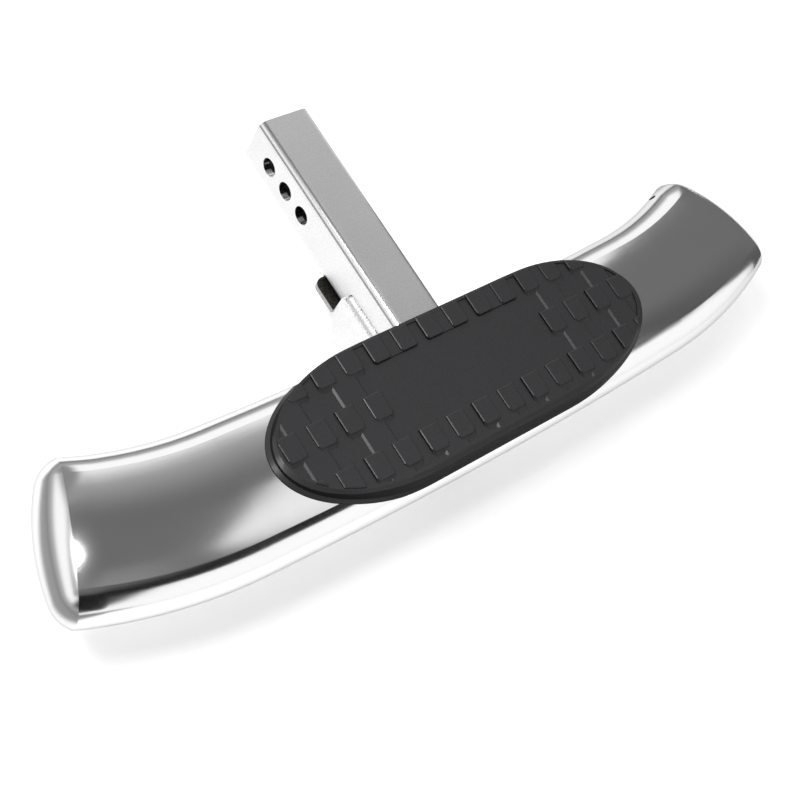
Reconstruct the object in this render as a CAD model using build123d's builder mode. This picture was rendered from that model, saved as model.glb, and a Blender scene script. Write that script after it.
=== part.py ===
from build123d import *
from math import atan2, cos, degrees, radians, sin, sqrt
import os

# Hitch receiver step, in millimetres.
# The origin is the middle pin hole, on the shank's axis.
# +Y points to the vehicle, +X to the right along the step, +Z up.

# Receiver shank: square tube for a two inch receiver
shank_size = 50.8
shank_wall = 6.35
shank_corner = 7.5
shank_inner_corner = 2.0
shank_lead = 28.6
shank_cope = 12.0
pin_hole_diameter = 16.5
pin_hole_pitch = 25.4
pin_hole_count = 3

# Step tube: four-arc oval section on a bowed centre line
tube_width = 122.5
tube_height = 60.5
tube_edge_radius = 26.0
tube_wall = 2.5
tube_centre_y = -222.5
tube_centre_z = 10.5
bow_radius = 5000.0
bow_half_length = 222.0
bend_radius = 365.0
bend_angle = 19.5
vent_diameter = 7.0
vent_from_end = 24.0
vent_rise_angle = 18.0

# End caps: domed pressings with a crease where they meet the tube
cap_depth = 20.5
cap_trim = 1.0

# Gap between pieces that seat on each other
seat_gap = 0.2

# Step pad: moulded, with a sloped border and a lip that follows the tube
pad_shift_y = 4.5
pad_half_length = 193.0
pad_half_width = 60.75
pad_straight_half = 76.0
pad_rise = 7.2
pad_front_drop = 15.2
pad_rear_clearance = 4.0
pad_draft = 2.4
pad_shoulder_drop = 2.0
pad_border_end = 6.0
pad_border_rear = 3.25
pad_border_front = 6.75
lip_proud = 1.3
lip_thickness = 2.2

# Tread: blocks stand above the ribs, and the ribs above the recessed floor
tread_straight_half = 88.0
tread_floor_depth = 1.3
tread_rim = 2.5
tread_edge_margin = 0.8
tread_root = 0.6
tread_pitch = 27.0
tread_columns = 14
block_rise = 2.5
block_width = 17.0
block_length = 21.2
block_front_run = 3.5
block_upright_run = 0.8
block_corner = 1.8
row_pitch = 41.1
row_shift = 6.2
rib_rise = 1.15
rib_top_width = 21.2
rib_base_width = 24.8
rib_count = 7
field_half_length = 86.0

# Snap posts that hold the pad to the tube's top wall
post_diameter = 8.0
post_hole_play = 0.6
post_barb = 1.0
post_barb_length = 3.0
post_pitch_x = 100.0
post_columns = 3
post_pitch_y = 44.0
post_rows = 2

# Bracket: two gussets and a floor plate under the shank
gusset_thickness = 7.0
gusset_reach = 57.5
gusset_height_on_shank = 18.4
gusset_lobe_radius = 66.0
gusset_lobe_lean = 14.0
gusset_lobe_turn = 111.0
gusset_tip_inset = 28.0
gusset_tip_height = 11.0
floor_thickness = 5.0
floor_lead = 30.5
floor_overhang = 8.6
floor_corner = 8.0

# Weld beads
gusset_weld_leg = 6.5
cradle_weld_leg = 5.0
floor_weld_leg = 5.0
weld_crown = 0.8
weld_toe = 0.5
weld_setback = 4.0

# Places that follow from the sizes above
shank_half = shank_size / 2
edge_centre = tube_width / 2 - tube_edge_radius
crown_rise = tube_height / 2 - tube_edge_radius
crown_radius = (edge_centre**2 + (tube_height / 2) ** 2 - tube_edge_radius**2) / (2 * crown_rise)
crown_centre = crown_radius - tube_height / 2
crown_angle = degrees(atan2(edge_centre, crown_centre))
tube_rear_y = tube_centre_y + tube_width / 2
tube_front_y = tube_centre_y - tube_width / 2
tube_top_z = tube_centre_z + tube_height / 2
tube_bottom_z = tube_centre_z - tube_height / 2
shank_far_y = pin_hole_pitch * (pin_hole_count - 1) / 2 + shank_lead
shank_near_y = tube_rear_y - shank_cope
gusset_far_y = tube_rear_y + gusset_reach
gusset_tip_y = tube_front_y + gusset_tip_inset
gusset_top_z = gusset_height_on_shank - shank_half
floor_far_y = gusset_far_y + floor_lead
pad_centre_y = tube_centre_y + pad_shift_y
pad_front_z = tube_top_z - pad_front_drop
pad_rear_z = shank_half + pad_rear_clearance
pad_top_z = tube_top_z + pad_rise
pad_shoulder_z = pad_top_z - pad_shoulder_drop
tread_floor_z = pad_top_z - tread_floor_depth
tread_root_z = tread_floor_z - tread_root
rib_z = tread_floor_z + rib_rise
block_z = tread_floor_z + block_rise
row_y = [pad_centre_y + row_shift + row * row_pitch for row in (1, 0, -1)]
column_x = [(column - (tread_columns - 1) / 2) * tread_pitch for column in range(tread_columns)]


def oval(inset=0.0):
    """Edges of the tube's section, drawn inwards by inset."""
    edge_radius = tube_edge_radius - inset
    crown = crown_radius - inset
    edge_angle = 90 - crown_angle
    with BuildLine() as section:
        CenterArc((0, -crown_centre), crown, edge_angle, 2 * crown_angle)
        CenterArc((-edge_centre, 0), edge_radius, 90 + crown_angle, 2 * edge_angle)
        CenterArc((0, crown_centre), crown, 180 + edge_angle, 2 * crown_angle)
        CenterArc((edge_centre, 0), edge_radius, -edge_angle, 2 * edge_angle)
    return section.edges()


def pad_outline(rear=0.0, front=0.0, end=0.0, straight_half=pad_straight_half):
    """Edges of the pad's plan, drawn inwards at its rear, its front and its ends."""
    half_width = pad_half_width - (rear + front) / 2
    centre_y = pad_centre_y + (front - rear) / 2
    end_length = pad_half_length - end - straight_half
    with BuildLine() as outline:
        for side in (1, -1):
            arc_x = side * straight_half
            long_edge_y = centre_y + side * half_width
            EllipticalCenterArc((arc_x, centre_y), end_length, half_width, -90 * side, arc_size=180)
            Line((arc_x, long_edge_y), (-arc_x, long_edge_y))
    return outline.edges()


def tread_outline(margin=0.0):
    """Edges of the pad's flat top, drawn inwards by margin."""
    return pad_outline(
        pad_border_rear + margin,
        pad_border_front + margin,
        pad_border_end + margin,
        tread_straight_half,
    )


def across(direction):
    """Level direction at right angles to a direction, on its left."""
    return Vector(-direction.Y, direction.X, 0)


# Right half of the tube's centre line: a gentle bow, then the bend towards the vehicle
with BuildLine(Plane.XY.offset(tube_centre_z)) as half_path:
    bow = JernArc((0, tube_centre_y), (1, 0), bow_radius, degrees(bow_half_length / bow_radius))
    bend = JernArc(bow @ 1, bow % 1, bend_radius, bend_angle)

tube_middle = Plane(origin=bow @ 0, x_dir=across(bow % 0), z_dir=bow % 0)
tube_end = Plane(origin=bend @ 1, x_dir=across(bend % 1), z_dir=bend % 1)


def tube_volume(grow):
    """The space that the tube fills, grown by a clearance."""
    with BuildPart() as volume:
        with BuildSketch(tube_middle):
            make_face(oval(-grow))
        sweep(path=half_path.wire())
        mirror(about=Plane.YZ)
    return volume.part


def cap_volume(inset):
    """Domed form of the right end cap, drawn inwards by inset, with upright arcs about one axis."""
    depth = cap_depth - inset
    half_width = tube_width / 2 - inset
    half_height = tube_height / 2 - inset
    axis_depth = (half_height**2 - depth**2) / (2 * depth)
    dome_axis = Axis(tube_end.origin - tube_end.z_dir * axis_depth, tube_end.x_dir)
    crown = crown_radius - inset
    shoulder = crown * sin(radians(crown_angle))
    shoulder_height = crown * cos(radians(crown_angle)) - crown_centre
    shoulder_depth = sqrt(axis_depth**2 + shoulder_height**2) - axis_depth
    with BuildPart() as dome:
        with BuildSketch(Plane(origin=tube_end.origin, x_dir=tube_end.x_dir, z_dir=-tube_end.y_dir)):
            with BuildLine():
                middle = ThreePointArc((-shoulder, shoulder_depth), (0, depth), (shoulder, shoulder_depth))
                rear = TangentArc(middle @ 1, (half_width, 0), tangent=middle % 1)
                front = TangentArc(middle @ 0, (-half_width, 0), tangent=-(middle % 0))
                rear_foot = Line(rear @ 1, rear @ 1 + (rear % 1) * cap_trim)
                front_foot = Line(front @ 1, front @ 1 + (front % 1) * cap_trim)
                Polyline(
                    rear_foot @ 1,
                    ((rear_foot @ 1).X, -axis_depth),
                    ((front_foot @ 1).X, -axis_depth),
                    front_foot @ 1,
                )
            make_face()
        revolve(axis=dome_axis)
        split(bisect_by=tube_end, keep=Keep.TOP)
    return dome.part


tube_seat = tube_volume(seat_gap)

# Receiver shank, open at its far end and coped to the tube
with BuildPart() as receiver_shank:
    with BuildSketch(Plane.XZ.offset(-shank_far_y)):
        RectangleRounded(shank_size, shank_size, shank_corner)
        bore = shank_size - 2 * shank_wall
        RectangleRounded(bore, bore, shank_inner_corner, mode=Mode.SUBTRACT)
    extrude(amount=shank_far_y - shank_near_y)
    with BuildSketch(Plane.YZ.offset(-shank_half)):
        with GridLocations(pin_hole_pitch, 0, pin_hole_count, 1):
            Circle(pin_hole_diameter / 2)
    extrude(amount=shank_size, mode=Mode.SUBTRACT)
    add(tube_seat, mode=Mode.SUBTRACT)

# Step tube, with a vent near each end and holes for the pad's posts
vent_share = 1 - vent_from_end / bend.length
vent_level = across(bend.tangent_at(vent_share))
vent_normal = vent_level * cos(radians(vent_rise_angle)) + Vector(0, 0, sin(radians(vent_rise_angle)))
vent_centre = bend.position_at(vent_share) + vent_level * edge_centre
vent_plane = Plane(origin=vent_centre + vent_normal * tube_edge_radius, z_dir=vent_normal)
with BuildPart() as step_tube:
    with BuildSketch(tube_middle):
        make_face(oval())
        make_face(oval(tube_wall), mode=Mode.SUBTRACT)
    sweep(path=half_path.wire())
    with Locations(vent_plane):
        Hole(vent_diameter / 2, depth=tube_edge_radius)
    mirror(about=Plane.YZ)
    with Locations((0, pad_centre_y, tube_top_z)):
        with GridLocations(post_pitch_x, post_pitch_y, post_columns, post_rows):
            Hole((post_diameter + post_hole_play) / 2, depth=tube_height / 2)

# End caps
with BuildPart() as end_cap_right:
    add(cap_volume(0))
    add(cap_volume(tube_wall), mode=Mode.SUBTRACT)

with BuildPart() as end_cap_left:
    mirror(end_cap_right.part, about=Plane.YZ)


def tread_block(front_run):
    """One tread block on the middle of its column and row, with its front wall sloped by front_run."""
    half_length = block_length / 2
    root_run = front_run * (block_rise + tread_root) / block_rise
    with BuildPart() as block:
        with BuildSketch(Plane.YZ):
            with BuildLine():
                Polyline(
                    (half_length, tread_root_z),
                    (half_length, block_z),
                    (-half_length, block_z),
                    (-half_length - root_run, tread_root_z),
                    close=True,
                )
            make_face()
        extrude(amount=block_width / 2, both=True)
        front_corners = block.edges().filter_by(Axis.X, reverse=True).group_by(Axis.Y)[0]
        chamfer(front_corners, block_corner)
    return block.part


# Tread ribs, left out of the plain middle field
with BuildPart() as tread_ribs:
    with BuildSketch(Plane.XZ.offset(-pad_centre_y)):
        with GridLocations(2 * tread_pitch, 0, rib_count, 1):
            Polygon(
                (-rib_base_width / 2, tread_root_z),
                (rib_base_width / 2, tread_root_z),
                (rib_base_width / 2, tread_floor_z),
                (rib_top_width / 2, rib_z),
                (-rib_top_width / 2, rib_z),
                (-rib_base_width / 2, tread_floor_z),
                align=None,
            )
    extrude(amount=pad_half_width, both=True)
    with BuildSketch(Plane.XY.offset(tread_root_z)):
        with Locations((0, row_y[1])):
            Rectangle(2 * field_half_length, 2 * row_pitch - block_length)
    extrude(amount=tread_root + rib_rise, mode=Mode.SUBTRACT)

# Tread blocks in three rows, the middle row only beside the field
side_columns = [x for x in column_x if abs(x) > field_half_length]
middle_columns = [x for x in column_x if abs(x) <= field_half_length]
with BuildPart() as tread:
    add(tread_ribs.part)
    sloped_places = [(x, y) for y in row_y for x in side_columns]
    sloped_places += [(x, row_y[2]) for x in middle_columns]
    with Locations(*sloped_places):
        add(tread_block(block_front_run))
    with Locations(*[(x, row_y[0]) for x in middle_columns]):
        add(tread_block(block_upright_run))
    with BuildSketch(Plane.XY.offset(tread_root_z)):
        make_face(tread_outline(tread_edge_margin))
    extrude(amount=block_z - tread_root_z, mode=Mode.INTERSECT)

# Thin lip along the pad's lower edge
with BuildPart() as pad_lip:
    with BuildSketch(Plane.XY.offset(pad_front_z)):
        make_face(pad_outline(-lip_proud, -lip_proud, -lip_proud))
    extrude(amount=pad_shoulder_z - pad_front_z)
    add(tube_volume(seat_gap + lip_thickness), mode=Mode.INTERSECT)

# Step pad: drafted walls, sloped border, recessed tread floor, then the tube's space cut away
post_reach_y = pad_shift_y + post_pitch_y * (post_rows - 1) / 2 + post_diameter / 2 + post_barb
post_sag = crown_radius - sqrt(crown_radius**2 - post_reach_y**2)
barb_z = tube_top_z - post_sag - tube_wall - seat_gap
with BuildPart() as step_pad:
    with BuildSketch(Plane.XY.offset(pad_front_z)):
        make_face(pad_outline())
    with BuildSketch(Plane.XY.offset(pad_shoulder_z)):
        make_face(pad_outline(pad_draft, pad_draft, pad_draft))
    loft(ruled=True)
    with BuildSketch(Plane.XY.offset(pad_shoulder_z)):
        make_face(pad_outline(pad_draft, pad_draft, pad_draft))
    with BuildSketch(Plane.XY.offset(pad_top_z)):
        make_face(tread_outline())
    loft(ruled=True)
    with BuildSketch(Plane.XY.offset(tread_floor_z)):
        make_face(tread_outline(tread_rim))
    extrude(amount=tread_floor_depth, mode=Mode.SUBTRACT)
    add(tread.part)
    add(pad_lip.part)
    with BuildSketch(Plane.XY.offset(pad_front_z)):
        with Locations((0, pad_centre_y)):
            Rectangle(
                2 * (pad_half_length + lip_proud),
                pad_half_width + lip_proud,
                align=(Align.CENTER, Align.MIN),
            )
    extrude(amount=pad_rear_z - pad_front_z, mode=Mode.SUBTRACT)
    add(tube_seat, mode=Mode.SUBTRACT)
    with Locations((0, pad_centre_y, tube_top_z)):
        with GridLocations(post_pitch_x, post_pitch_y, post_columns, post_rows):
            Cylinder(post_diameter / 2, tube_top_z - barb_z, align=(Align.CENTER, Align.CENTER, Align.MAX))
    with Locations((0, pad_centre_y, barb_z)):
        with GridLocations(post_pitch_x, post_pitch_y, post_columns, post_rows):
            Cone(
                post_diameter / 2 - post_barb,
                post_diameter / 2 + post_barb,
                post_barb_length,
                align=(Align.CENTER, Align.CENTER, Align.MAX),
            )

# Gussets beside the shank, cradling the tube from below
with BuildPart() as gusset_right:
    with BuildSketch(Plane.YZ.offset(shank_half)):
        with BuildLine():
            far_edge = Line((gusset_far_y, gusset_top_z), (gusset_far_y, -shank_half))
            lean = radians(gusset_lobe_lean)
            lobe = JernArc(far_edge @ 1, (-sin(lean), -cos(lean)), gusset_lobe_radius, -gusset_lobe_turn)
            Polyline(
                lobe @ 1,
                (gusset_tip_y, tube_bottom_z - gusset_tip_height),
                (gusset_tip_y, gusset_top_z),
                far_edge @ 0,
            )
        make_face()
    extrude(amount=gusset_thickness)
    add(tube_seat, mode=Mode.SUBTRACT)

with BuildPart() as gusset_left:
    mirror(gusset_right.part, about=Plane.YZ)

# Floor plate: a wide head ahead of the gussets and a neck between them
with BuildPart() as floor_plate:
    with BuildSketch(Plane.XY.offset(-shank_half - floor_thickness)) as floor_outline:
        with Locations((0, floor_far_y)):
            Rectangle(
                shank_size + 2 * floor_overhang,
                floor_lead - seat_gap,
                align=(Align.CENTER, Align.MAX),
            )
        fillet(floor_outline.vertices().group_by(Axis.Y)[-1], floor_corner)
        with Locations((0, shank_near_y)):
            Rectangle(
                shank_size - 2 * seat_gap,
                floor_far_y - floor_corner - shank_near_y,
                align=(Align.CENTER, Align.MIN),
            )
    extrude(amount=floor_thickness)

# Weld beads along the gussets' top edges, against the shank's sides
with BuildPart() as gusset_weld_right:
    with BuildSketch(Plane.XZ.offset(weld_setback - gusset_far_y)):
        with BuildLine():
            legs = Polyline(
                (shank_half, gusset_top_z + gusset_weld_leg),
                (shank_half, gusset_top_z),
                (shank_half + gusset_weld_leg, gusset_top_z),
            )
            SagittaArc(legs @ 1, legs @ 0, -weld_crown)
        make_face()
    extrude(amount=gusset_far_y - weld_setback - tube_centre_y)
    add(tube_seat, mode=Mode.SUBTRACT)

with BuildPart() as gusset_weld_left:
    mirror(gusset_weld_right.part, about=Plane.YZ)

# Weld beads under the tube, along the gussets' outer faces
gusset_outer_x = shank_half + gusset_thickness
cradle_y = bow.position_at(gusset_outer_x / bow_half_length).Y
cradle_plane = Plane(origin=(gusset_outer_x, cradle_y, tube_centre_z), x_dir=(0, 1, 0), z_dir=(1, 0, 0))
with BuildPart() as cradle_weld_right:
    with BuildSketch(cradle_plane):
        make_face(oval(-cradle_weld_leg))
    with BuildSketch(cradle_plane.offset(cradle_weld_leg)):
        make_face(oval(-seat_gap - weld_toe))
    loft(ruled=True)
    with BuildSketch(cradle_plane):
        make_face(oval(-seat_gap))
    extrude(amount=cradle_weld_leg, mode=Mode.SUBTRACT)
    with BuildSketch(Plane.YZ.offset(gusset_outer_x)):
        with Locations((gusset_tip_y, gusset_top_z)):
            Rectangle(tube_rear_y - gusset_tip_y, tube_height, align=(Align.MIN, Align.MAX))
    extrude(amount=cradle_weld_leg, mode=Mode.INTERSECT)

with BuildPart() as cradle_weld_left:
    mirror(cradle_weld_right.part, about=Plane.YZ)

# Weld bead across the floor plate's far edge, under the shank
weld_half_span = shank_half - shank_corner
with BuildPart() as floor_weld:
    with BuildSketch(Plane.YZ.offset(-weld_half_span)):
        with BuildLine():
            legs = Polyline(
                (floor_far_y, -shank_half - floor_thickness),
                (floor_far_y, -shank_half),
                (floor_far_y + floor_weld_leg, -shank_half),
            )
            SagittaArc(legs @ 1, legs @ 0, weld_crown)
        make_face()
    extrude(amount=2 * weld_half_span)

# Weld bead where the shank's top meets the tube, under the pad's rear edge
with BuildPart() as shank_weld:
    with BuildSketch(Plane.YZ.offset(-weld_half_span)):
        with BuildLine():
            Polyline(
                (shank_near_y, shank_half),
                (tube_rear_y, shank_half),
                (shank_near_y, pad_rear_z),
                close=True,
            )
        make_face()
    extrude(amount=2 * weld_half_span)
    add(tube_seat, mode=Mode.SUBTRACT)

pieces = {
    "receiver_shank": receiver_shank,
    "step_tube": step_tube,
    "end_cap_left": end_cap_left,
    "end_cap_right": end_cap_right,
    "step_pad": step_pad,
    "gusset_left": gusset_left,
    "gusset_right": gusset_right,
    "floor_plate": floor_plate,
    "gusset_weld_left": gusset_weld_left,
    "gusset_weld_right": gusset_weld_right,
    "cradle_weld_left": cradle_weld_left,
    "cradle_weld_right": cradle_weld_right,
    "floor_weld": floor_weld,
    "shank_weld": shank_weld,
}
os.makedirs("parts", exist_ok=True)
for name, piece in pieces.items():
    piece.part.label = name
    export_step(piece.part, f"parts/{name}.step")
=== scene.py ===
import math

import bmesh
import bpy
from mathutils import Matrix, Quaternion, Vector
from mathutils.geometry import intersect_point_line


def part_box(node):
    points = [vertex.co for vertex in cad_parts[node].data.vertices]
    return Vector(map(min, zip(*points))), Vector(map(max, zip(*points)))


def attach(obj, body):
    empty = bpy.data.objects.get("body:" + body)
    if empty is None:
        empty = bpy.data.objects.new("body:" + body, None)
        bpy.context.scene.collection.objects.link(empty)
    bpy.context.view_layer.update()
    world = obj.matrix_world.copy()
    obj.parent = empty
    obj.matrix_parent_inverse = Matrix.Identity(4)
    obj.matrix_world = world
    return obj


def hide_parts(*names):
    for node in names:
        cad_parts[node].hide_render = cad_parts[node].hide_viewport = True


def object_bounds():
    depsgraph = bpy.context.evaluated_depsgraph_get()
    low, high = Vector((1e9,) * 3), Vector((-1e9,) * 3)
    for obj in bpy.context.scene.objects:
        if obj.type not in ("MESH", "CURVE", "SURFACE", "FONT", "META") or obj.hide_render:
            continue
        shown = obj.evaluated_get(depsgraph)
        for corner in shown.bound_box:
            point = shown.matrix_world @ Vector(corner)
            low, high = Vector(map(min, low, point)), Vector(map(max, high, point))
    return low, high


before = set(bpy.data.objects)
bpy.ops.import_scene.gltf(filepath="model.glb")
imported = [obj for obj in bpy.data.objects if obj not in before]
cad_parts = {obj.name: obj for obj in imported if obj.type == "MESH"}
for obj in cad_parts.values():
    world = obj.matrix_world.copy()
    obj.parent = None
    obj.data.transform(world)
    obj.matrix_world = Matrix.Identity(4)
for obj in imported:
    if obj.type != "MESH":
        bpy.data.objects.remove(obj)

# Hitch receiver step: finishes, rippled welds, a moulded pad and a plain white studio.
# Everything is in metres, in the frame of the loaded pieces: +X right, +Y to the vehicle, +Z up.

MM = 0.001
cad_low, cad_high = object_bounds()

# Camera, at the photograph's viewing angle
CAMERA_PLACE = Vector((-0.6361, -0.4111, 0.9137))
CAMERA_AIM = Vector((-0.0440, -0.2040, 0.0))
CAMERA_ROLL = math.radians(40.56)
CAMERA_LENS = 62.24

# Lamps: place, aim, width, depth, and how bright the lamp's face looks, 1 being white
LAMPS = {
    "side_softbox": ((0.44, -0.37, 1.0), (0.1, -0.2, 0.0), 0.46, 0.5, 0.75),
    "left_key": ((-0.90, 0.10, 1.40), (0.0, -0.2, 0.0), 0.36, 0.36, 25.0),
    "top_lamp": ((-0.42, 0.0, 1.60), (-0.35, -0.22, 0.0), 0.24, 0.24, 12.0),
}

# Studio brightness, 1 being white
FLOOR_COLOUR = 0.9
FLOOR_LIFT = 0.46
AMBIENT = 1.0
AMBIENT_FRONT = 0.06
BACKDROP = 1.0
CEILING = 0.132
CEILING_REAR = 0.33
CEILING_STRIP = 0.13
FRONT_SHADE = 0.01
REAR_GAP_SHADE = 0.24
HORIZON_SHADE = 0.36
TABLE_SHADE = 0.34
FLAG_GREY = 0.15
FLAG_EDGE_GREY = 0.08

# Studio places: the floor, the white table's edges on it, and the grey flag on the right
FLOOR_HALF_SIZE = 20.0
TABLE_LEFT_EDGE = -0.46
TABLE_LEFT_SOFTNESS = 0.06
TABLE_REAR_EDGE = 0.42
TABLE_REAR_SOFTNESS = 0.2
FLAG_X = 0.75
FLAG_FRONT = -0.42
FLAG_REAR = 0.2
FLAG_TOP = 0.9
FLAG_EDGE_WIDTH = 0.22

# The mirrored studio, in parts of a direction: heights, and where each soft edge starts and ends
BACKDROP_SIDE_HEIGHT = 0.5
BACKDROP_RISE = 0.27
BACKDROP_FRONT_DIP = 0.62
REAR_BACKDROP_TOP = (0.025, 0.065)
REAR_CEILING_FADE = (0.06, 0.34)
REAR_GAP_START = (-0.37, -0.24)
REAR_GAP_END = (0.2, 0.4)
REAR_GAP_DEPTH = (0.5, 0.7)
FRONT_BACKDROP_TOP = (-0.03, 0.03)
FRONT_CEILING_FADE = (0.83, 0.93)
FRONT_DIP_START = (-0.14, 0.2)
FRONT_TO_REAR = (-0.4, -0.1)
STRIP_START = (-0.30, -0.22)
STRIP_END = (-0.19, -0.12)
STRIP_RIGHT_END = (-0.31, -0.22)
HORIZON_LEFT_START = (0.3, 0.5)
HORIZON_REAR_START = (0.2, 0.5)
HORIZON_TOP = (0.14, 0.36)
AMBIENT_FADE = (-0.25, 0.55)

# Finishes: the two tones of each mottle
POLISHED_TONES = ((0.95, 0.95, 0.945, 1), (0.985, 0.985, 0.985, 1))
SATIN_TONES = ((0.8, 0.8, 0.805, 1), (0.9, 0.9, 0.905, 1))
BORE_TONES = ((0.03, 0.029, 0.028, 1), (0.075, 0.07, 0.066, 1))
PLATE_FACE_TONES = ((0.018, 0.017, 0.014, 1), (0.05, 0.047, 0.04, 1))
CUT_EDGE_TONES = ((0.3, 0.3, 0.3, 1), (0.45, 0.45, 0.45, 1))
WELD_BRIGHT_AND_BURNT = ((0.8, 0.8, 0.79, 1), (0.05, 0.043, 0.036, 1))
# The pad's walls carry painted shade, darker than the pad's own tone on its tops
PAD_WALL_PAINTED_SHADE_TONES = ((0.007, 0.007, 0.008, 1), (0.013, 0.013, 0.014, 1))
PAD_TOP_TONES = ((0.042, 0.042, 0.044, 1), (0.058, 0.058, 0.061, 1))

# Finishes: roughness, where a pair is clean and handled
TUBE_ROUGHNESS = (0.14, 0.17)
CAP_ROUGHNESS = (0.2, 0.23)
SATIN_ROUGHNESS = (0.5, 0.56)
SHANK_CORNER_ROUGHNESS = 0.2
CUT_EDGE_ROUGHNESS = 0.35
PLATE_FACE_ROUGHNESS = 0.55
WELD_ROUGHNESS = (0.42, 0.55)
PAD_TOP_ROUGHNESS = (0.25, 0.30)
PAD_WALL_ROUGHNESS = 0.85

# Finishes: shine, relief, the scale of fine patterns, and where each mask starts and ends
POLISHED_RIM_TINT = 0.6
PAD_SHINE = 0.18
PLATE_FACE_METAL = (0.9, 1.0)
POLISHED_RELIEF = 0.004 * MM
SATIN_RELIEF = 0.012 * MM
PLATE_RELIEF = 0.03 * MM
WELD_RELIEF = 0.005 * MM
PAD_RELIEF = 0.012 * MM
GRAIN_TONE = (0.3, 0.7)
SMEAR_EDGE = (0.35, 0.7)
SHANK_FLAT = (0.93, 0.995)
PLATE_FLAT = (0.5, 0.8)
WELD_BURNT = (0.1, 0.45)
WELD_PATCH_SCALE = 180.0
WELD_PATCH_DEPTH = 0.5
STIPPLE_SCALE = 1900.0
STIPPLE_TONE = (0.25, 0.75)
# Where the pad's faces turn from walls with painted shade to smooth tops, by how far they face up
PAD_RUBBED_AND_UNSHADED = (0.25, 0.8)

# The shank's bore, and the thin band of wall where its darker inside gives way to the satin outside
SHANK_BORE_HALF = 19.05 * MM
SHANK_BORE_EDGE = (SHANK_BORE_HALF + 0.1 * MM, SHANK_BORE_HALF + 0.4 * MM)

# The tube's section: two edge arcs and two crown arcs
TUBE_CENTRE = Vector((0, -222.5 * MM, 10.5 * MM))
TUBE_HALF_WIDTH = 61.25 * MM
TUBE_HALF_HEIGHT = 30.25 * MM
TUBE_EDGE_RADIUS = 26.0 * MM
TUBE_EDGE_CENTRE = TUBE_HALF_WIDTH - TUBE_EDGE_RADIUS
TUBE_CROWN_RADIUS = (TUBE_EDGE_CENTRE**2 + TUBE_HALF_HEIGHT**2 - TUBE_EDGE_RADIUS**2) / (
    2 * (TUBE_HALF_HEIGHT - TUBE_EDGE_RADIUS)
)
TUBE_CROWN_CENTRE = TUBE_CROWN_RADIUS - TUBE_HALF_HEIGHT
TUBE_CROWN_ANGLE = math.atan2(TUBE_EDGE_CENTRE, TUBE_CROWN_CENTRE)

# The caps' seams, given at the right end, and how far the tube's wall is pulled in beside them
SEAM_PLACE = Vector((342.72, -191.25, 10.5)) * MM
SEAM_TURN = math.radians(22.04)
SEAM_PUCKER_LENGTH = 20.0 * MM
SEAM_PUCKER_DEPTH = 1.35 * MM
SEAM_PUCKER_REAR_DEPTH = 2.6 * MM
SEAM_PUCKER_REAR = (15.0 * MM, 45.0 * MM)

# The pad: run and drop of the two slopes on a block's rim, and the slope of the lip
PAD_RIM_SLOPES = ((0.12 * MM, 0.85 * MM), (0.75 * MM, 0.47 * MM))
LIP_SLOPE = 0.49
LIP_MOST_DROP = 1.6 * MM
SHARP_ANGLE = math.radians(28)
LEVEL_NORMAL = 0.999
UPWARD_NORMAL = 0.5
REACH_SLACK = 0.01 * MM
MERGE_DISTANCE = 0.001 * MM

# Welds: the ripples, and each bead's distance from its corner, half width and half height
RIPPLE_PITCH = 2.6 * MM
RIPPLE_LENGTHS_PER_PITCH = 1.6
RIPPLE_UNEVENNESS = 0.06
RIPPLE_SEED = 7
RIPPLE_SEGMENTS = 14
RIPPLE_RINGS = 8
GUSSET_BEAD = (1.6 * MM, 4.3 * MM, 2.2 * MM)
CRADLE_BEAD = (1.2 * MM, 3.4 * MM, 1.8 * MM)
FLOOR_BEAD = (1.2 * MM, 3.3 * MM, 1.7 * MM)
SHANK_BEAD = (0.0, 3.0 * MM, 1.5 * MM)
SHANK_BEAD_SHIFT = Vector((0, 2.6 * MM, 0.4 * MM))
SHANK_BEAD_OUTWARD = Vector((0, 1, 1.6))
GUSSET_BEAD_REAR_END = 1.0 * MM
GUSSET_BEAD_FRONT_END = 3.0 * MM
CRADLE_STEPS = 8


def add_node(tree, kind, **values):
    """A node with its properties set."""
    node = tree.nodes.new(kind)
    for key, value in values.items():
        setattr(node, key, value)
    return node


def feed(tree, socket, value):
    """Sets an input to a number or a vector, or links it to another node's output."""
    if isinstance(value, bpy.types.NodeSocket):
        tree.links.new(value, socket)
    else:
        socket.default_value = value


def math_node(tree, operation, first, second=None, third=None):
    """Output of a Math node whose operands are numbers or sockets."""
    node = add_node(tree, "ShaderNodeMath", operation=operation)
    for place, operand in enumerate((first, second, third)):
        if operand is not None:
            feed(tree, node.inputs[place], operand)
    return node.outputs[0]


def mix_values(tree, share, low, high):
    """Low where share is 0, high where it is 1."""
    node = add_node(tree, "ShaderNodeMix", data_type="FLOAT")
    for place, operand in zip((0, 2, 3), (share, low, high)):
        feed(tree, node.inputs[place], operand)
    return node.outputs[0]


def mix_colours(tree, share, low, high):
    """One colour where share is 0, the other where it is 1."""
    node = add_node(tree, "ShaderNodeMix", data_type="RGBA")
    for place, operand in zip((0, 6, 7), (share, low, high)):
        feed(tree, node.inputs[place], operand)
    return node.outputs[2]


def smooth_step(tree, value, low, high, start=0.0, end=1.0):
    """Start below low, end above high, smooth between."""
    node = add_node(tree, "ShaderNodeMapRange", interpolation_type="SMOOTHSTEP")
    inputs = ("Value", "From Min", "From Max", "To Min", "To Max")
    for name, operand in zip(inputs, (value, low, high, start, end)):
        feed(tree, node.inputs[name], operand)
    return node.outputs[0]


def smooth_band(tree, value, rise, fall):
    """1 between a soft edge that rises and one that falls, 0 outside them."""
    risen = smooth_step(tree, value, *rise)
    return math_node(tree, "MULTIPLY", risen, smooth_step(tree, value, *fall, 1.0, 0.0))


def split_vector(tree, vector):
    """The X, Y and Z outputs of a vector."""
    node = add_node(tree, "ShaderNodeSeparateXYZ")
    feed(tree, node.inputs[0], vector)
    return node.outputs


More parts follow.
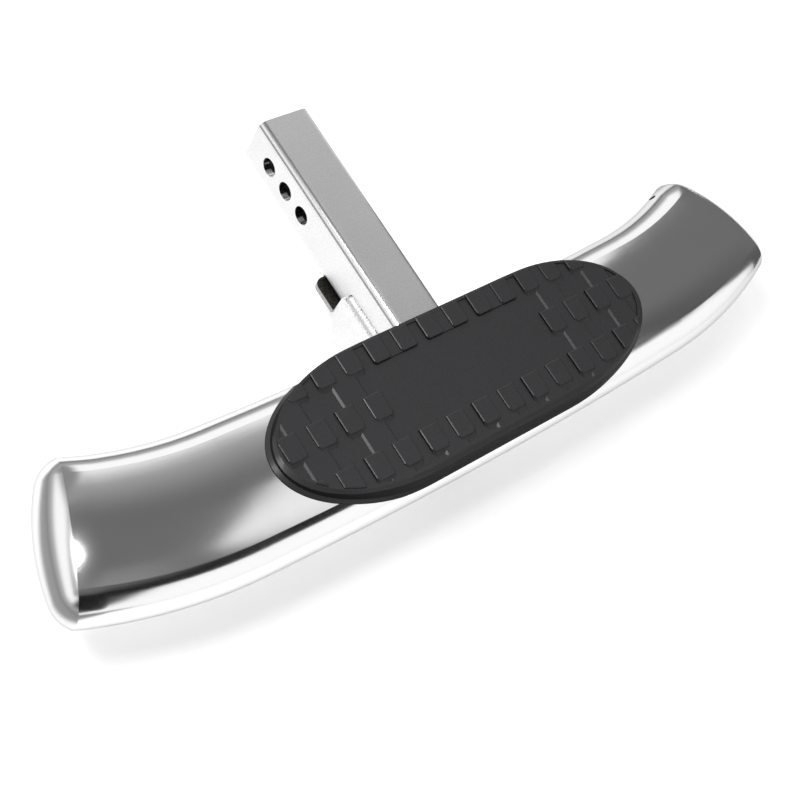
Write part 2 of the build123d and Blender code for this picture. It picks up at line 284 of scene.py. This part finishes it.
def larger_part(tree, parts, first, second):
    """The larger of two parts of a vector, whatever their signs."""
    sizes = [math_node(tree, "ABSOLUTE", parts[name]) for name in (first, second)]
    return math_node(tree, "MAXIMUM", *sizes)


def noise(tree, vector, scale, detail=2.0):
    """Noise between 0 and 1 on a vector."""
    node = add_node(tree, "ShaderNodeTexNoise")
    feed(tree, node.inputs["Vector"], vector)
    feed(tree, node.inputs["Scale"], scale)
    feed(tree, node.inputs["Detail"], detail)
    return node.outputs["Fac"]


def object_place(tree):
    """Object coordinates."""
    return add_node(tree, "ShaderNodeTexCoord").outputs["Object"]


def object_normal(tree):
    """The X, Y and Z of the direction that the surface faces."""
    return split_vector(tree, add_node(tree, "ShaderNodeTexCoord").outputs["Normal"])


def reflected_ray(tree, path):
    """1 for a ray that metal or glass sends out, from a Light Path node."""
    return math_node(
        tree, "MAXIMUM", path.outputs["Is Glossy Ray"], path.outputs["Is Transmission Ray"]
    )


def grey(value):
    """A neutral colour."""
    return (value, value, value, 1)


def new_material(name):
    """A material with nodes, its tree and its Principled shader."""
    material = bpy.data.materials.new(name)
    material.use_nodes = True
    return material, material.node_tree, material.node_tree.nodes["Principled BSDF"]


def set_inputs(tree, shader, **values):
    """Plain values, or links to other nodes, on the shader's own sockets."""
    for name, value in values.items():
        feed(tree, shader.inputs[name.replace("_", " ")], value)


def add_bump(tree, shader, height, distance, share=1.0):
    """Surface relief from a height between 0 and 1, faded by a share."""
    bump = add_node(tree, "ShaderNodeBump")
    feed(tree, bump.inputs["Height"], height)
    feed(tree, bump.inputs["Strength"], share)
    bump.inputs["Distance"].default_value = distance
    tree.links.new(bump.outputs["Normal"], shader.inputs["Normal"])


def new_group(name, inputs, outputs):
    """A shader node group with named sockets; gives its tree, its inputs and its outputs."""
    group = bpy.data.node_groups.new(name, "ShaderNodeTree")
    for socket_name, value in inputs.items():
        kind = "NodeSocketVector" if socket_name == "Vector" else "NodeSocketFloat"
        socket = group.interface.new_socket(socket_name, in_out="INPUT", socket_type=kind)
        if value is not None:
            socket.default_value = value
    for socket_name in outputs:
        group.interface.new_socket(socket_name, in_out="OUTPUT", socket_type="NodeSocketFloat")
    source = add_node(group, "NodeGroupInput").outputs
    target = add_node(group, "NodeGroupOutput").inputs
    return group, source, target


def use_group(tree, group, vector, **values):
    """A group placed in a material with its own values; gives its outputs."""
    node = add_node(tree, "ShaderNodeGroup", node_tree=group)
    feed(tree, node.inputs["Vector"], vector)
    for name, value in values.items():
        node.inputs[name].default_value = value
    return node.outputs


def metal_grain_group():
    """Fine drawn lines along the metal and a mottle between them, as a tone and as a height."""
    inputs = {"Vector": None, "Stretch": 12.0, "Scale": 900.0, "Mottle": 0.5}
    group, source, target = new_group("metal_grain", inputs, ("Tone", "Height"))
    lengthways = add_node(group, "ShaderNodeCombineXYZ")
    feed(group, lengthways.inputs[0], math_node(group, "DIVIDE", 1.0, source["Stretch"]))
    lengthways.inputs[1].default_value = 1.0
    lengthways.inputs[2].default_value = 1.0
    stretched = add_node(group, "ShaderNodeVectorMath", operation="MULTIPLY")
    feed(group, stretched.inputs[0], source["Vector"])
    feed(group, stretched.inputs[1], lengthways.outputs[0])
    lines = noise(group, stretched.outputs[0], source["Scale"], 3.0)
    patches = noise(group, source["Vector"], source["Scale"], 1.0)
    grain = mix_values(group, source["Mottle"], lines, patches)
    feed(group, target["Tone"], smooth_step(group, grain, *GRAIN_TONE))
    feed(group, target["Height"], grain)
    return group


def handling_group():
    """Broad smears and fingermarks that change how shiny a surface is."""
    group, source, target = new_group("handling", {"Vector": None, "Scale": 14.0}, ("Smear",))
    broad = noise(group, source["Vector"], source["Scale"], 4.0)
    feed(group, target["Smear"], smooth_step(group, broad, *SMEAR_EDGE))
    return group


def polished_stainless(name, roughness, grain_group, smear_group, pucker):
    """Polished metal with faint lengthwise grain; pucker rolls it down beside the caps' seams."""
    material, tree, shader = new_material(name)
    place = object_place(tree)
    grain = use_group(tree, grain_group, place, Stretch=14.0, Scale=1100.0, Mottle=0.6)
    smear = use_group(tree, smear_group, place, Scale=16.0)["Smear"]
    set_inputs(
        tree,
        shader,
        Metallic=1.0,
        Specular_Tint=grey(POLISHED_RIM_TINT),
        Base_Color=mix_colours(tree, grain["Tone"], *POLISHED_TONES),
        Roughness=mix_values(tree, smear, *roughness),
    )
    height = math_node(tree, "MULTIPLY", grain["Height"], POLISHED_RELIEF)
    if pucker:
        height = math_node(tree, "SUBTRACT", height, seam_pucker(tree, place))
    add_bump(tree, shader, height, 1.0)
    return material


def seam_pucker(tree, place):
    """How far the tube's wall is pulled in by the caps' welds near either end, most at its rear."""
    parts = split_vector(tree, place)
    across = math_node(tree, "SUBTRACT", math_node(tree, "ABSOLUTE", parts["X"]), SEAM_PLACE.x)
    along = math_node(tree, "SUBTRACT", parts["Y"], SEAM_PLACE.y)
    turn_cos = math.cos(SEAM_TURN)
    turn_sin = math.sin(SEAM_TURN)
    along_share = math_node(tree, "MULTIPLY", along, turn_sin)
    past = math_node(tree, "MULTIPLY_ADD", across, turn_cos, along_share)
    along_share = math_node(tree, "MULTIPLY", along, turn_cos)
    rearward = math_node(tree, "MULTIPLY_ADD", across, -turn_sin, along_share)
    depth = smooth_step(
        tree, rearward, *SEAM_PUCKER_REAR, SEAM_PUCKER_DEPTH, SEAM_PUCKER_REAR_DEPTH
    )
    share = math_node(tree, "MULTIPLY_ADD", past, 1 / SEAM_PUCKER_LENGTH, 1.0)
    share = math_node(tree, "MAXIMUM", share, 0.0)
    return math_node(tree, "MULTIPLY", math_node(tree, "POWER", share, 2.0), depth)


def satin_stainless(grain_group, smear_group):
    """Satin metal with a fine mottle, darker inside the shank's bore."""
    material, tree, shader = new_material("satin_stainless")
    place = object_place(tree)
    grain = use_group(tree, grain_group, place, Stretch=1.5, Scale=750.0, Mottle=0.7)
    smear = use_group(tree, smear_group, place, Scale=22.0)["Smear"]
    reach = larger_part(tree, split_vector(tree, place), "X", "Z")
    outside_bore = smooth_step(tree, reach, *SHANK_BORE_EDGE)
    outside = mix_colours(tree, grain["Tone"], *SATIN_TONES)
    inside = mix_colours(tree, grain["Tone"], *BORE_TONES)
    facing = larger_part(tree, object_normal(tree), "X", "Z")
    flat = smooth_step(tree, facing, *SHANK_FLAT)
    satin = mix_values(tree, smear, *SATIN_ROUGHNESS)
    set_inputs(
        tree,
        shader,
        Metallic=1.0,
        Base_Color=mix_colours(tree, outside_bore, inside, outside),
        Roughness=mix_values(tree, flat, SHANK_CORNER_ROUGHNESS, satin),
    )
    add_bump(tree, shader, grain["Height"], SATIN_RELIEF, flat)
    return material


def plate_steel(grain_group, smear_group):
    """Plate with darker flat faces and bright cut edges."""
    material, tree, shader = new_material("plate_steel")
    place = object_place(tree)
    grain = use_group(tree, grain_group, place, Stretch=1.5, Scale=500.0, Mottle=0.8)
    smear = use_group(tree, smear_group, place, Scale=40.0)["Smear"]
    upright = math_node(tree, "ABSOLUTE", object_normal(tree)["Z"])
    flat = smooth_step(tree, upright, *PLATE_FLAT)
    # The flat faces are darker than the cut edges, chosen by which way each face points
    scale = mix_colours(tree, grain["Tone"], *PLATE_FACE_TONES)
    cut = mix_colours(tree, grain["Tone"], *CUT_EDGE_TONES)
    set_inputs(
        tree,
        shader,
        Metallic=mix_values(tree, smear, *PLATE_FACE_METAL),
        Base_Color=mix_colours(tree, flat, cut, scale),
        Roughness=mix_values(tree, flat, CUT_EDGE_ROUGHNESS, PLATE_FACE_ROUGHNESS),
    )
    add_bump(tree, shader, grain["Height"], PLATE_RELIEF)
    return material


def weld_metal(grain_group, smear_group):
    """Bright ripples with burnt oxide in patches."""
    material, tree, shader = new_material("weld_metal")
    place = object_place(tree)
    grain = use_group(tree, grain_group, place, Stretch=1.0, Scale=700.0, Mottle=1.0)
    smear = use_group(tree, smear_group, place, Scale=150.0)["Smear"]
    crest = add_node(tree, "ShaderNodeAttribute", attribute_name="crest").outputs["Fac"]
    patches = math_node(tree, "MULTIPLY", noise(tree, place, WELD_PATCH_SCALE), WELD_PATCH_DEPTH)
    worn = math_node(tree, "SUBTRACT", crest, patches)
    burnt = smooth_step(tree, worn, *WELD_BURNT, 1.0, 0.0)
    set_inputs(
        tree,
        shader,
        Metallic=1.0,
        Base_Color=mix_colours(tree, burnt, *WELD_BRIGHT_AND_BURNT),
        Roughness=mix_values(tree, smear, *WELD_ROUGHNESS),
    )
    add_bump(tree, shader, grain["Height"], WELD_RELIEF)
    return material


def black_plastic(smear_group):
    """Moulded plastic with a fine stipple: tops smooth in the pad's own dark grey, walls matt with
    painted shade that makes them near black.
    """
    material, tree, shader = new_material("black_plastic")
    place = object_place(tree)
    smear = use_group(tree, smear_group, place, Scale=30.0)["Smear"]
    stipple = noise(tree, place, STIPPLE_SCALE, 1.0)
    shade = smooth_step(tree, stipple, *STIPPLE_TONE)
    # Faces that turn sideways get painted shade in their colour and are matt; faces that point up keep
    # the pad's own tone and are smooth
    rubbed_and_unshaded = smooth_step(tree, object_normal(tree)["Z"], *PAD_RUBBED_AND_UNSHADED)
    painted_shade_wall = mix_colours(tree, shade, *PAD_WALL_PAINTED_SHADE_TONES)
    top = mix_colours(tree, shade, *PAD_TOP_TONES)
    smooth = mix_values(tree, smear, *PAD_TOP_ROUGHNESS)
    set_inputs(
        tree,
        shader,
        Specular_IOR_Level=PAD_SHINE,
        Base_Color=mix_colours(tree, rubbed_and_unshaded, painted_shade_wall, top),
        Roughness=mix_values(tree, rubbed_and_unshaded, PAD_WALL_ROUGHNESS, smooth),
    )
    add_bump(tree, shader, stipple, PAD_RELIEF)
    return material


def dress(material, *nodes):
    """Gives loaded pieces a finish."""
    for name in nodes:
        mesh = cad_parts[name].data
        mesh.materials.clear()
        mesh.materials.append(material)


def finished_piece(name, mesh, node):
    """Links a mesh as a piece that stands for a loaded one."""
    piece = bpy.data.objects.new(name, mesh)
    bpy.context.scene.collection.objects.link(piece)
    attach(piece, "root")
    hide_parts(node)


def smooth_regions(work):
    """Groups of faces that meet at less than the sharp angle."""
    seen = set()
    regions = []
    for first in work.faces:
        if first in seen:
            continue
        seen.add(first)
        waiting = [first]
        region = []
        while waiting:
            face = waiting.pop()
            region.append(face)
            for edge in face.edges:
                if edge.calc_face_angle(math.pi) > SHARP_ANGLE:
                    continue
                for other in edge.link_faces:
                    if other not in seen:
                        seen.add(other)
                        waiting.append(other)
        regions.append(region)
    return regions


def region_vertices(region):
    """The vertices of a region of faces."""
    return {vertex for face in region for vertex in face.verts}


def border_edges(region):
    """The edges round a region of faces."""
    faces = set(region)
    edges = [edge for face in region for edge in face.edges]
    return [edge for edge in edges if not faces.issuperset(edge.link_faces)]


def is_block_top(region):
    """True for the level top of a tread block, which stands above everything round it."""
    if min(face.normal.z for face in region) < LEVEL_NORMAL:
        return False
    return all(edge.is_convex for edge in border_edges(region))


def is_lip_top(region, reach):
    """True for the upper side of the pad's lip, the upward region that reaches furthest out."""
    furthest = max(vertex.co.x for vertex in region_vertices(region))
    upward = sum(face.normal.z for face in region) / len(region)
    return furthest > reach - REACH_SLACK and upward > UPWARD_NORMAL


def edge_distance(vertex, edge):
    """How far a vertex is from an edge."""
    start, end = (corner.co for corner in edge.verts)
    share = intersect_point_line(vertex.co, start, end)[1]
    return (vertex.co - start.lerp(end, min(max(share, 0.0), 1.0))).length


def slope_lip(region):
    """Slopes the lip outward from the foot of the pad's side, so that it thins to its edge."""
    foot = [edge for edge in border_edges(region) if not edge.is_convex]
    drops = {
        vertex: LIP_SLOPE * min(edge_distance(vertex, edge) for edge in foot)
        for vertex in region_vertices(region)
    }
    for vertex, drop in drops.items():
        vertex.co.z -= min(drop, LIP_MOST_DROP)


def slope_rim(work, region):
    """Breaks the rim of a block's top in two slopes, a steep one and a wide one above it."""
    for run, drop in PAD_RIM_SLOPES:
        ring = bmesh.ops.inset_region(
            work, faces=region, thickness=run, use_even_offset=True, use_boundary=True
        )["faces"]
        for vertex in region_vertices(ring) - region_vertices(region):
            vertex.co.z -= drop
        for face in ring:
            for edge in face.edges:
                edge.smooth = False


def make_pad(material):
    """The moulded pad: a copy of its solid with sloped block rims and a sloped lip."""
    work = bmesh.new()
    work.from_mesh(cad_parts["step_pad"].data)
    bmesh.ops.remove_doubles(work, verts=work.verts, dist=MERGE_DISTANCE)
    for edge in work.edges:
        edge.smooth = edge.calc_face_angle(math.pi) < SHARP_ANGLE
    regions = smooth_regions(work)
    reach = max(vertex.co.x for vertex in work.verts)
    for region in [region for region in regions if is_lip_top(region, reach)]:
        slope_lip(region)
    for region in [region for region in regions if is_block_top(region)]:
        slope_rim(work, region)
    for face in work.faces:
        face.smooth = True
    mesh = bpy.data.meshes.new("moulded_pad")
    work.to_mesh(mesh)
    work.free()
    mesh.materials.append(material)
    finished_piece("moulded_pad", mesh, "step_pad")


def weld_tree():
    """Geometry nodes: overlapping ripples along a path that carries its outward direction."""
    tree = bpy.data.node_groups.new("weld_ripples", "GeometryNodeTree")
    tree.interface.new_socket("Path", in_out="INPUT", socket_type="NodeSocketGeometry")
    for name in ("Ripple Pitch", "Half Width", "Half Height", "Unevenness"):
        tree.interface.new_socket(name, in_out="INPUT", socket_type="NodeSocketFloat")
    tree.interface.new_socket("Finish", in_out="INPUT", socket_type="NodeSocketMaterial")
    tree.interface.new_socket("Bead", in_out="OUTPUT", socket_type="NodeSocketGeometry")
    source = add_node(tree, "NodeGroupInput").outputs

    curve = add_node(tree, "GeometryNodeMeshToCurve")
    feed(tree, curve.inputs["Mesh"], source["Path"])
    spaced = add_node(tree, "GeometryNodeResampleCurve", mode="LENGTH")
    feed(tree, spaced.inputs["Curve"], curve.outputs["Curve"])
    feed(tree, spaced.inputs["Length"], source["Ripple Pitch"])

    drop = add_node(tree, "GeometryNodeMeshUVSphere")
    drop.inputs["Segments"].default_value = RIPPLE_SEGMENTS
    drop.inputs["Rings"].default_value = RIPPLE_RINGS
    drop.inputs["Radius"].default_value = 1.0
    position = split_vector(tree, add_node(tree, "GeometryNodeInputPosition").outputs[0])
    crest = add_node(tree, "GeometryNodeStoreNamedAttribute", data_type="FLOAT", domain="POINT")
    crest.inputs["Name"].default_value = "crest"
    feed(tree, crest.inputs["Geometry"], drop.outputs["Mesh"])
    feed(tree, crest.inputs["Value"], position["Z"])

    outward = add_node(tree, "GeometryNodeInputNamedAttribute", data_type="FLOAT_VECTOR")
    outward.inputs["Name"].default_value = "outward"
    tangent = add_node(tree, "GeometryNodeInputTangent")
    turn = add_node(tree, "FunctionNodeAxesToRotation", primary_axis="Z", secondary_axis="X")
    feed(tree, turn.inputs["Primary Axis"], outward.outputs["Attribute"])
    feed(tree, turn.inputs["Secondary Axis"], tangent.outputs[0])

    change = add_node(tree, "FunctionNodeRandomValue", data_type="FLOAT")
    change.inputs["Seed"].default_value = RIPPLE_SEED
    feed(tree, change.inputs[2], math_node(tree, "SUBTRACT", 1.0, source["Unevenness"]))
    feed(tree, change.inputs[3], math_node(tree, "ADD", 1.0, source["Unevenness"]))
    factors = {
        "Ripple Pitch": RIPPLE_LENGTHS_PER_PITCH,
        "Half Width": change.outputs[1],
        "Half Height": change.outputs[1],
    }
    size = add_node(tree, "ShaderNodeCombineXYZ")
    for place, (name, factor) in enumerate(factors.items()):
        feed(tree, size.inputs[place], math_node(tree, "MULTIPLY", source[name], factor))

    drops = add_node(tree, "GeometryNodeInstanceOnPoints")
    feed(tree, drops.inputs["Points"], spaced.outputs["Curve"])
    feed(tree, drops.inputs["Instance"], crest.outputs["Geometry"])
    feed(tree, drops.inputs["Rotation"], turn.outputs["Rotation"])
    feed(tree, drops.inputs["Scale"], size.outputs[0])
    real = add_node(tree, "GeometryNodeRealizeInstances")
    feed(tree, real.inputs["Geometry"], drops.outputs["Instances"])
    smooth = add_node(tree, "GeometryNodeSetShadeSmooth")
    feed(tree, smooth.inputs["Geometry"], real.outputs["Geometry"])
    finish = add_node(tree, "GeometryNodeSetMaterial")
    feed(tree, finish.inputs["Geometry"], smooth.outputs["Geometry"])
    feed(tree, finish.inputs["Material"], source["Finish"])
    bead = add_node(tree, "NodeGroupOutput").inputs["Bead"]
    feed(tree, bead, finish.outputs["Geometry"])
    return tree


def make_weld(tree, node, points, outwards, bead, material):
    """A rippled bead beside points on a corner, in place of a plain one."""
    distance, half_width, half_height = bead
    points = [point + outward * distance for point, outward in zip(points, outwards)]
    path = bpy.data.meshes.new(node + "_path")
    path.from_pydata(points, [(step, step + 1) for step in range(len(points) - 1)], [])
    attribute = path.attributes.new("outward", "FLOAT_VECTOR", "POINT")
    for step, outward in enumerate(outwards):
        attribute.data[step].vector = outward.normalized()
    carrier = bpy.data.objects.new(node + "_path", path)
    bpy.context.scene.collection.objects.link(carrier)
    modifier = carrier.modifiers.new("ripples", "NODES")
    modifier.node_group = tree
    values = {
        "Ripple Pitch": RIPPLE_PITCH,
        "Half Width": half_width,
        "Half Height": half_height,
        "Unevenness": RIPPLE_UNEVENNESS,
        "Finish": material,
    }
    for item in tree.interface.items_tree:
        if item.in_out == "INPUT" and item.name in values:
            modifier[item.identifier] = values[item.name]
    graph = bpy.context.evaluated_depsgraph_get()
    mesh = bpy.data.meshes.new_from_object(carrier.evaluated_get(graph))
    carrier.modifiers.remove(modifier)
    bpy.data.objects.remove(carrier)
    finished_piece(node.replace("weld", "weld_bead"), mesh, node)


def straight_weld(tree, node, start, end, outward, bead, material):
    """A rippled bead along a straight corner."""
    run = [start.lerp(end, share) for share in (0.0, 0.5, 1.0)]
    make_weld(tree, node, run, [outward] * len(run), bead, material)


def cross_weld(tree, node, y, z, outward, bead, material):
    """A rippled bead from the left end of a loaded one to its right end."""
    low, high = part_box(node)
    straight_weld(tree, node, Vector((low.x, y, z)), Vector((high.x, y, z)), outward, bead, material)


def cradle_path(side, x, top, front):
    """Points and outward directions under the tube, from the gusset's top edge to its front tip."""
    points = []
    outwards = []
    start = math.asin((top - TUBE_CENTRE.z) / TUBE_EDGE_RADIUS)
    for step in range(CRADLE_STEPS):
        angle = start + (TUBE_CROWN_ANGLE - math.pi / 2 - start) * step / CRADLE_STEPS
        outward = Vector((0, math.cos(angle), math.sin(angle)))
        points.append(Vector((x, TUBE_EDGE_CENTRE, 0)) + outward * TUBE_EDGE_RADIUS)
        outwards.append(outward + Vector((side, 0, 0)))
    end = math.asin((front - TUBE_CENTRE.y) / TUBE_CROWN_RADIUS)
    crown_steps = 2 * CRADLE_STEPS
    for step in range(crown_steps + 1):
        angle = TUBE_CROWN_ANGLE + (end - TUBE_CROWN_ANGLE) * step / crown_steps
        outward = Vector((0, math.sin(angle), -math.cos(angle)))
        points.append(Vector((x, 0, TUBE_CROWN_CENTRE)) + outward * TUBE_CROWN_RADIUS)
        outwards.append(outward + Vector((side, 0, 0)))
    return [point + TUBE_CENTRE for point in points], outwards


def make_welds(material):
    """All six beads."""
    tree = weld_tree()
    for side, hand in ((-1, "left"), (1, "right")):
        node = "gusset_weld_" + hand
        low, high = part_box(node)
        corner_x = high.x if side < 0 else low.x
        start = Vector((corner_x, high.y - GUSSET_BEAD_REAR_END, low.z))
        end = Vector((corner_x, low.y + GUSSET_BEAD_FRONT_END, low.z))
        straight_weld(tree, node, start, end, Vector((side, 0, 1)), GUSSET_BEAD, material)
        node = "cradle_weld_" + hand
        low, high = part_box(node)
        corner_x = high.x if side < 0 else low.x
        points, outwards = cradle_path(side, corner_x, high.z, low.y)
        make_weld(tree, node, points, outwards, CRADLE_BEAD, material)
    low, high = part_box("floor_weld")
    cross_weld(tree, "floor_weld", low.y, high.z, Vector((0, 1, -1)), FLOOR_BEAD, material)
    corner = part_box("shank_weld")[0] + SHANK_BEAD_SHIFT
    cross_weld(tree, "shank_weld", corner.y, corner.z, SHANK_BEAD_OUTWARD, SHANK_BEAD, material)


def make_camera():
    """The camera, at the photograph's viewing angle."""
    data = bpy.data.cameras.new("camera")
    data.lens = CAMERA_LENS
    camera = bpy.data.objects.new("camera", data)
    bpy.context.scene.collection.objects.link(camera)
    camera.location = CAMERA_PLACE
    camera.rotation_mode = "QUATERNION"
    look = (CAMERA_AIM - CAMERA_PLACE).to_track_quat("-Z", "Y")
    camera.rotation_quaternion = look @ Quaternion((0, 0, 1), CAMERA_ROLL)
    bpy.context.scene.camera = camera


def mirrored_studio(tree, direction):
    """What polished metal shows of the studio in a direction."""
    parts = split_vector(tree, direction)
    left = math_node(tree, "MULTIPLY", parts["X"], -1.0)
    depth = math_node(tree, "ABSOLUTE", parts["Y"])
    rise = math_node(tree, "MULTIPLY_ADD", depth, BACKDROP_RISE, BACKDROP_SIDE_HEIGHT)

    # Towards the vehicle: white backdrop, with a grey gap in the middle, and a ceiling above it
    above = math_node(tree, "SUBTRACT", parts["Z"], rise)
    ceiling = smooth_step(tree, above, *REAR_CEILING_FADE, CEILING_REAR, CEILING)
    rear = mix_values(tree, smooth_step(tree, above, *REAR_BACKDROP_TOP), BACKDROP, ceiling)
    gap = smooth_band(tree, left, REAR_GAP_START, REAR_GAP_END)
    gap = math_node(tree, "MULTIPLY", gap, smooth_step(tree, parts["Y"], *REAR_GAP_DEPTH))
    rear = mix_values(tree, gap, rear, REAR_GAP_SHADE)

    # Away from the vehicle: the backdrop dips on the left, under a dark ceiling
    dip = smooth_step(tree, left, *FRONT_DIP_START, 0.0, BACKDROP_FRONT_DIP)
    above = math_node(tree, "SUBTRACT", parts["Z"], math_node(tree, "SUBTRACT", rise, dip))
    ceiling = smooth_step(tree, parts["Z"], *FRONT_CEILING_FADE, FRONT_SHADE, CEILING)
    front = mix_values(tree, smooth_step(tree, above, *FRONT_BACKDROP_TOP), BACKDROP, ceiling)
    all_round = mix_values(tree, smooth_step(tree, parts["Y"], *FRONT_TO_REAR), front, rear)

    # A paler strip across the ceiling, and a grey horizon on the left and at the rear
    strip = smooth_band(tree, parts["Y"], STRIP_START, STRIP_END)
    strip = math_node(tree, "MULTIPLY", strip, smooth_step(tree, left, *STRIP_RIGHT_END))
    all_round = math_node(tree, "MULTIPLY_ADD", strip, CEILING_STRIP, all_round)
    sideways = smooth_step(tree, left, *HORIZON_LEFT_START)
    rearward = smooth_step(tree, parts["Y"], *HORIZON_REAR_START)
    low = smooth_step(tree, parts["Z"], *HORIZON_TOP, 1.0, 0.0)
    horizon = math_node(tree, "MULTIPLY", math_node(tree, "MAXIMUM", sideways, rearward), low)
    return mix_values(tree, horizon, all_round, HORIZON_SHADE)


def make_world():
    """White for the camera, even soft light for the object, and the studio for reflections."""
    world = bpy.data.worlds.new("studio")
    bpy.context.scene.world = world
    world.use_nodes = True
    world.cycles.sampling_method = "NONE"
    tree = world.node_tree
    tree.nodes.clear()
    direction = add_node(tree, "ShaderNodeTexCoord").outputs["Generated"]
    mirrored = mirrored_studio(tree, direction)
    depth = split_vector(tree, direction)["Y"]
    ambient = smooth_step(tree, depth, *AMBIENT_FADE, AMBIENT_FRONT, AMBIENT)
    path = add_node(tree, "ShaderNodeLightPath")
    lit = mix_values(tree, reflected_ray(tree, path), ambient, mirrored)
    strength = mix_values(tree, path.outputs["Is Camera Ray"], lit, 1.0)
    background = add_node(tree, "ShaderNodeBackground")
    background.inputs["Color"].default_value = grey(1)
    tree.links.new(strength, background.inputs["Strength"])
    output = add_node(tree, "ShaderNodeOutputWorld")
    tree.links.new(background.outputs[0], output.inputs["Surface"])


def stage_sheet(name, corners, material):
    """A flat sheet of the studio."""
    mesh = bpy.data.meshes.new(name)
    mesh.from_pydata(corners, [], [(0, 1, 2, 3)])
    mesh.materials.append(material)
    sheet = bpy.data.objects.new(name, mesh)
    bpy.context.scene.collection.objects.link(sheet)
    return sheet


def make_floor():
    """White floor that keeps the shadow; in reflections it turns grey past the table's edges."""
    material, tree, shader = new_material("floor_white")
    path = add_node(tree, "ShaderNodeLightPath")
    reflected = reflected_ray(tree, path)
    place = split_vector(tree, object_place(tree))
    left_edge = (TABLE_LEFT_EDGE - TABLE_LEFT_SOFTNESS, TABLE_LEFT_EDGE + TABLE_LEFT_SOFTNESS)
    rear_edge = (TABLE_REAR_EDGE - TABLE_REAR_SOFTNESS, TABLE_REAR_EDGE + TABLE_REAR_SOFTNESS)
    past_left = smooth_step(tree, place["X"], *left_edge, 1.0, 0.0)
    past_rear = smooth_step(tree, place["Y"], *rear_edge)
    beyond = math_node(tree, "MAXIMUM", past_left, past_rear)
    beyond = math_node(tree, "MULTIPLY", beyond, reflected)
    seen = math_node(tree, "MAXIMUM", path.outputs["Is Camera Ray"], reflected)
    lift = math_node(tree, "MULTIPLY", seen, FLOOR_LIFT)
    set_inputs(
        tree,
        shader,
        Roughness=1.0,
        Specular_IOR_Level=0.0,
        Base_Color=mix_colours(tree, beyond, grey(FLOOR_COLOUR), grey(TABLE_SHADE)),
        Emission_Color=grey(1),
        Emission_Strength=mix_values(tree, beyond, lift, 0.0),
    )
    half = FLOOR_HALF_SIZE
    level = cad_low.z
    corners = [(-half, -half, level), (half, -half, level), (half, half, level), (-half, half, level)]
    stage_sheet("floor", corners, material)


def make_flag():
    """A grey card on the right, darker at its front edge, that only reflections show."""
    material, tree, shader = new_material("flag_grey")
    y = split_vector(tree, object_place(tree))["Y"]
    front_edge = (FLAG_FRONT, FLAG_FRONT + FLAG_EDGE_WIDTH)
    set_inputs(
        tree,
        shader,
        Specular_IOR_Level=0.0,
        Base_Color=grey(0),
        Emission_Color=grey(1),
        Emission_Strength=smooth_step(tree, y, *front_edge, FLAG_EDGE_GREY, FLAG_GREY),
    )
    bottom = cad_low.z
    corners = [
        (FLAG_X, FLAG_FRONT, bottom),
        (FLAG_X, FLAG_REAR, bottom),
        (FLAG_X, FLAG_REAR, FLAG_TOP),
        (FLAG_X, FLAG_FRONT, FLAG_TOP),
    ]
    flag = stage_sheet("grey_flag", corners, material)
    flag.visible_camera = False
    flag.visible_diffuse = False
    flag.visible_shadow = False


def make_lamp(name, place, aim, width, depth, radiance):
    """A soft rectangular lamp; radiance is how bright its face looks, 1 being white."""
    data = bpy.data.lights.new(name, "AREA")
    data.shape = "RECTANGLE"
    data.size = width
    data.size_y = depth
    data.energy = radiance * math.pi * width * depth
    lamp = bpy.data.objects.new(name, data)
    bpy.context.scene.collection.objects.link(lamp)
    lamp.location = place
    lamp.rotation_mode = "QUATERNION"
    lamp.rotation_quaternion = (Vector(aim) - Vector(place)).to_track_quat("-Z", "Y")
    lamp.visible_camera = False


def make_studio():
    """Camera, world, floor, flag and lamps."""
    bpy.context.scene.view_settings.view_transform = "Standard"
    make_camera()
    make_world()
    make_floor()
    make_flag()
    for name, values in LAMPS.items():
        make_lamp(name, *values)


def make_finishes():
    """Finishes on the loaded pieces, and the pieces that stand for the welds and the pad."""
    grain = metal_grain_group()
    smear = handling_group()
    tube = polished_stainless("polished_stainless", TUBE_ROUGHNESS, grain, smear, pucker=True)
    caps = polished_stainless("polished_caps", CAP_ROUGHNESS, grain, smear, pucker=False)
    dress(tube, "step_tube")
    dress(caps, "end_cap_left", "end_cap_right")
    dress(satin_stainless(grain, smear), "receiver_shank", "gusset_left", "gusset_right")
    dress(plate_steel(grain, smear), "floor_plate")
    make_welds(weld_metal(grain, smear))
    make_pad(black_plastic(smear))


make_studio()
make_finishes()
